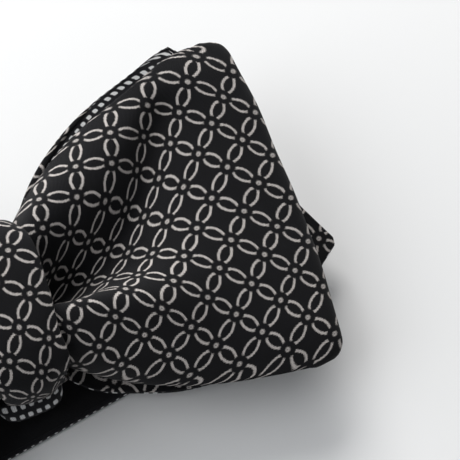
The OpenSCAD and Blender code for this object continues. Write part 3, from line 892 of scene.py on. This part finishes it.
def knot_stitches():
    """Slip stitches that close the wrap at the back of the knot."""
    rows = [stitch([-1.1, v - 0.3, 0.05], [1.1, v + 0.5, 0.05], [0, 0, -1])
            for v in np.arange(-6, 6.1, 3)]
    dress(tubes("knot_stitches", [from_bow(r) for r in rows], 0.14), thread, "thread",
          stands_for=["knot_closing_stitches"])


knot_stitches()


# ---- Neck band ----
slide_axis = np.array(joints["hook_carriage_slide"]["axis"])
eye_axis = np.array(joints["eye_flip"]["axis"])
hook_bar = np.array(joints["hook_flip"]["pos_m"]) / MM
eye_bar = np.array(joints["eye_flip"]["pos_m"]) / MM
STRAP_TURN = math.atan2(slide_axis[1], slide_axis[0]) + math.pi
STRAP_TURN = (STRAP_TURN + math.pi) % (2 * math.pi) - math.pi
EYE_TURN = math.atan2(eye_axis[0], eye_axis[1])
HOOK_X = float(np.hypot(*hook_bar[:2]))
BAND_Y = float(eye_bar[1] + eye_bar[0] * math.tan(EYE_TURN))
EYE_X = float(-eye_bar[0] / math.cos(EYE_TURN))
LOW_Z = BAND_T / 2  # middle of a strap that lies on the table
FOLD_X, FOLD_R = 46.0, 1.5  # where the band folds back under the wing
FOLD_Y = FOLD_X * math.tan(STRAP_TURN)
HOOK_SIDE_END, EYE_SIDE_END = 52.0, 128.0  # from the knot to the ends of the band
TAPE_GRIP = 10.0  # tape held inside the end of the band
BAND_Z = BOW_Z + (BOW_Y - BAND_Y) / math.tan(TILT)


def station(middle, heading, roll, pitch=math.pi / 2):
    """The band's middle, the direction of its width and the normal of its outer face."""
    across = np.array([math.sin(heading), math.cos(heading), 0])
    along = np.array([math.cos(heading), -math.sin(heading), 0])
    up = along * math.cos(pitch) + np.array([0, 0, math.sin(pitch)])
    return (np.array(middle), across * math.cos(roll) + up * math.sin(roll),
            up * math.cos(roll) - across * math.sin(roll))


def band_stations():
    """The band's way: from the eye's end, through the knot, round the fold and back.

    It comes down to the table between lift and down, both measured from the knot.
    """
    lift, down = KNOT_W + 3, 80.0
    under_angle = math.atan2(BAND_Y - FOLD_Y, FOLD_X)
    under_len = math.hypot(FOLD_X, BAND_Y - FOLD_Y)
    out = []
    for s in np.concatenate([[EYE_SIDE_END], np.linspace(EYE_SIDE_END - 1, lift, 70)]):
        z = BAND_Z + (LOW_Z - BAND_Z) * ease(lift, down, s)
        out.append(station([-s * math.cos(EYE_TURN), BAND_Y + s * math.sin(EYE_TURN), z],
                           EYE_TURN, TILT * (1 - ease(lift, 60, s))))
    onward = np.linspace(-0.998 * lift, under_len - 0.5, 60)
    for s in onward[onward > -lift + 0.5]:
        z = BAND_Z + (LOW_Z + 2 * FOLD_R - BAND_Z) * ease(lift, under_len, s)
        share = ease(-lift, lift, s)
        heading = EYE_TURN * (1 - share) + under_angle * share if s < lift else under_angle
        y = BAND_Y - s * math.sin(under_angle) if s > 0 else BAND_Y - s * math.sin(EYE_TURN)
        out.append(station([s * math.cos(heading), y, z], heading,
                           TILT * (1 - ease(lift, under_len - 4, s))))
    for t in np.linspace(0, 1, 14)[1:-1]:
        heading = under_angle * (1 - t) - STRAP_TURN * t
        pitch = math.pi / 2 - math.pi * t
        way = np.array([math.cos(heading), -math.sin(heading), 0])
        middle = np.array([FOLD_X, FOLD_Y, LOW_Z + FOLD_R]) + way * FOLD_R * math.cos(pitch)
        middle[2] += FOLD_R * math.sin(pitch)
        out.append(station(middle, heading, 0.0, pitch))
    start = FOLD_X / math.cos(STRAP_TURN) - 0.5
    for x in np.concatenate([np.linspace(start, -HOOK_SIDE_END + 1, 60), [-HOOK_SIDE_END]]):
        out.append(station([x * math.cos(STRAP_TURN), x * math.sin(STRAP_TURN), LOW_Z],
                           -STRAP_TURN, 0.0, -math.pi / 2))
    return out


def neck_band():
    """The band's cover, interlining and backing."""
    stations = band_stations()
    middle, across, out = (np.array([s[k] for s in stations]) for k in range(3))
    x = np.linspace(-1, 1, 22)
    half = BAND_W / 2 - 0.35
    along = lengths(middle)

    def layer(name, short, outer, inner, border):
        """One layer, which stops the given number of stations short of the ends."""
        rows = slice(short, len(middle) - short)
        p = middle[rows, None] + across[rows, None] * (x * half)[None, :, None]
        nrm = np.broadcast_to(out[rows, None], p.shape)
        uv = stacked(along[rows, None], x * half)
        return slab(name, p, uv, outer, inner, border, border, to_world=lambda q: q, nrm=nrm)

    rolled = [(0.2, 0.68), (0.33, 0.35), (0.33, -0.35), (0.2, -0.74), (-0.1, -0.79), (-0.55, -0.79),
              (-0.6, -0.7), (-0.2, -0.62), (0.08, -0.55), (0.1, 0.0), (0.05, 0.25)]
    cover = layer("band_outer_cloth", 0, 0.78, 0.3, rolled)
    filling = layer("band_canvas", 4, 0.28, -0.28, [(-0.1, 0.0)])
    backing = layer("band_backing_cloth", 0, -0.3, -0.72, [(0.0, -0.5)])
    dress(cover, band_cloth, "spotted_lining", stands_for=["neck_band_cover"])
    dress(filling, canvas, "interlining", stands_for=["neck_band_interlining"])
    dress(backing, black_cloth, "black_cloth", stands_for=["neck_band_backing"])


neck_band()


# ---- Tapes ----
BAR_D, METAL_T = 1.2, 0.8  # of the fastener's bars and plates
LOOP_R = BAR_D / 2 + 0.05 + TAPE_T / 2
RUN_Z = METAL_T + 0.4 + TAPE_T / 2  # middle of the tape where it passes over the slider
SLIDER_X = 85.0
SLIDER_BAR_Z = RUN_Z + TAPE_T + 0.2 + LOOP_R
RAMP_END, FIXED_RUN_END, LOOP_LIMB = 60.0, 96.0, 4.0


def on_strap(turn, y=0.0):
    """From a strap's own frame, in which it runs along -X, to the row frame."""
    c, s = math.cos(turn), math.sin(turn)

    def place(p):
        p = np.asarray(p, float)
        return stacked(p[..., 0] * c - p[..., 1] * s, y + p[..., 0] * s + p[..., 1] * c, p[..., 2])
    return place


hook_strap = on_strap(STRAP_TURN)
eye_strap = on_strap(-EYE_TURN, BAND_Y)


def bend(centre, start, end):
    """Points of a tape's turn round a bar, between two angles in degrees."""
    turn = np.radians(np.linspace(start, end, 24))
    return [(centre[0] + LOOP_R * math.cos(t), centre[1] + LOOP_R * math.sin(t)) for t in turn]


def swoop(a, b):
    """Points of a tape's gentle step from a to b."""
    return [(a[0] + (b[0] - a[0]) * t, a[1] + (b[1] - a[1]) * float(ease(0, 1, t)))
            for t in np.linspace(0, 1, 24)]


def tape(name, route, place):
    """Ribbon along a route given in X and Z of the strap's frame."""
    line = np.array(route)
    keep = np.concatenate([[True], np.linalg.norm(np.diff(line, axis=0), axis=1) > 0.02])
    line = line[keep]
    along = lengths(line)
    where = np.unique(np.concatenate([along, np.arange(0, along[-1], 1.5)]))
    line = stacked(*(np.interp(where, along, line[:, k]) for k in (0, 1)))
    tangent = unit(np.gradient(line, where, axis=0))
    x = np.linspace(-1, 1, 16) * (TAPE_W / 2 - 0.2)
    p = stacked(line[:, :1], x, line[:, 1:])
    nrm = stacked(-tangent[:, 1:], 0, tangent[:, :1]) + 0 * p
    uv = stacked(where[:, None], x)
    edge = [(0.14, 0.2), (0.2, 0.0), (0.14, -0.2)]
    face = TAPE_T / 2 - 0.02
    obj = slab(name, p, uv, face, -face, edge, edge, to_world=place, nrm=nrm)
    return obj


def stitch_rows(name, distances, z, place, node, body="root"):
    """Rows of machine stitches across a tape, one at each distance along it."""
    rows = [place(stitch([x, y - 0.75, z], [x, y + 0.75, z], [0, 0, 1]))
            for x in distances for y in np.arange(-8, 8.1, 2.0)]
    dress(tubes(name, rows, 0.15), thread, "thread", body=body, stands_for=[node])


def on_hook_tape(x, z):
    """A point of the hook's tape, in metres in the row frame."""
    return tuple(hook_strap([x, 0, z]) * MM)


def end_tapes():
    """The ribbon at both ends of the band: through the slider and the hook, and round the eye."""
    lower = [(-HOOK_SIDE_END + TAPE_GRIP, LOW_Z), (-HOOK_SIDE_END, LOW_Z)]
    lower += swoop((-HOOK_SIDE_END, LOW_Z), (-RAMP_END, RUN_Z))
    lower += [(-FIXED_RUN_END, RUN_Z), (-HOOK_X + LOOP_LIMB, RUN_Z)]
    lower += bend((-HOOK_X, RUN_Z + LOOP_R), 270, 90)
    limb = (-HOOK_X + LOOP_LIMB, RUN_Z + 2 * LOOP_R)
    lower += [limb]
    piece = tape("hook_tape_lower", lower, hook_strap)
    dress(piece, tape_cloth, "black_cloth", body=None,
          stands_for=["adjuster_tape", "sliding_tape_run", "hook_loop_tape"])
    on_hook_tape(-FIXED_RUN_END, RUN_Z)
    on_hook_tape(-HOOK_X + LOOP_LIMB, RUN_Z)
    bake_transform(piece)
    at_slider = (-SLIDER_X - LOOP_LIMB - 3, SLIDER_BAR_Z - LOOP_R)
    upper = swoop(limb, at_slider) + bend((-SLIDER_X, SLIDER_BAR_Z), 270, 450)
    upper += [(-SLIDER_X - LOOP_LIMB - 2, SLIDER_BAR_Z + LOOP_R - 0.3)]
    piece = tape("hook_tape_upper", upper, hook_strap)
    dress(piece, tape_cloth, "black_cloth", body=None,
          stands_for=["return_tape_run", "slider_loop_tape"])
    on_hook_tape(*limb)
    on_hook_tape(at_slider[0], limb[1])
    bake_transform(piece)
    eye_route = [(-EYE_SIDE_END + TAPE_GRIP, LOW_Z), (-EYE_SIDE_END, LOW_Z), (-EYE_X, LOW_Z)]
    eye_route += bend((-EYE_X, LOW_Z + LOOP_R), 270, 90)
    tail_z = LOW_Z + TAPE_T + 0.05
    eye_route += swoop((-EYE_X, LOW_Z + 2 * LOOP_R), (-EYE_X + 6, tail_z))
    eye_route += [(-EYE_X + 11, tail_z)]
    dress(tape("eye_tape", eye_route, eye_strap), tape_cloth, "black_cloth",
          stands_for=["eye_loop_tape"])
    stitch_rows("eye_tape_stitches", (-EYE_X + 7.5, -EYE_X + 9.5), tail_z + TAPE_T / 2,
                eye_strap, "eye_loop_stitches")
    stitch_rows("band_end_stitches", (-HOOK_SIDE_END + 3, -HOOK_SIDE_END + 5), BAND_T - 0.05,
                hook_strap, "adjuster_tape_stitches")
    stitch_rows("slider_tape_stitches", (-SLIDER_X - LOOP_LIMB, -SLIDER_X - 2),
                SLIDER_BAR_Z + LOOP_R + TAPE_T / 2 - 0.1, hook_strap, "slider_loop_stitches",
                body="slider")


end_tapes()


# ---- Metal ----
BREAK = 0.16 * MM  # rounding of a pressing's edges


def pressed_metal(node, body):
    """The CAD part with its edges rounded, as tumbled pressings are."""
    source = frame["nodes"][node]
    mesh = source.data.copy()
    mesh.name = node + "_metal"
    obj = bpy.data.objects.new(node + "_metal", mesh)
    bpy.context.scene.collection.objects.link(obj)
    work = bmesh.new()
    work.from_mesh(mesh)
    bmesh.ops.remove_doubles(work, verts=work.verts, dist=1e-6)
    bmesh.ops.dissolve_limit(work, angle_limit=math.radians(2), verts=work.verts, edges=work.edges)
    sharp = [e for e in work.edges
             if len(e.link_faces) == 2 and e.calc_face_angle(0) > math.radians(35)]
    bmesh.ops.bevel(work, geom=sharp, offset=BREAK, segments=2, affect="EDGES", profile=0.5,
                    clamp_overlap=True)
    work.to_mesh(mesh)
    work.free()
    for poly in mesh.polygons:
        poly.use_smooth = True
    normals_by_area = obj.modifiers.new("normals", "WEIGHTED_NORMAL")
    normals_by_area.weight = 80
    dress(obj, nickel, "nickel_plate", body=body, stands_for=[node])


for node, body in (("hook", "hook"), ("eye", "eye"), ("slider_frame", "slider")):
    pressed_metal(node, body)


# ---- Stage ----
FLOOR_HALF, FLOOR_Z = 4000.0, -0.02


def floor_and_light():
    """A pale table, a dim sky all round, and two large soft lights."""
    n = Nodes("floor")
    n.surface(Base_Color=(0.82, 0.822, 0.822, 1), Roughness=0.75)
    corners = [(x * FLOOR_HALF, y * FLOOR_HALF, FLOOR_Z)
               for x, y in ((-1, -1), (1, -1), (1, 1), (-1, 1))]
    floor = make_object("floor", corners, [(0, 1, 2, 3)], smooth=False)
    floor.data.materials.append(n.material)
    world = bpy.data.worlds.new("studio")
    bpy.context.scene.world = world
    world.use_nodes = True
    sky = world.node_tree.nodes["Background"].inputs
    sky["Color"].default_value = (0.93, 0.96, 1.0, 1)
    sky["Strength"].default_value = 0.22

    target = Vector((0.03, 0.0, 0.0))

    def area(name, place, size, power, colour):
        light = bpy.data.objects.new(name, bpy.data.lights.new(name, "AREA"))
        light.data.shape = "DISK"
        light.data.size = size
        light.data.energy = power
        light.data.color = colour
        light.location = Vector(place)
        light.rotation_euler = (Vector(place) - target).to_track_quat("Z", "Y").to_euler()
        bpy.context.scene.collection.objects.link(light)

    area("window", (0.15, 0.85, 0.55), 0.6, 11.0, (1.0, 0.99, 0.975))
    area("sky", (-0.7, 0.35, 0.7), 1.2, 8.0, (0.97, 0.985, 1.0))
    bpy.context.scene.view_settings.view_transform = "Standard"


floor_and_light()
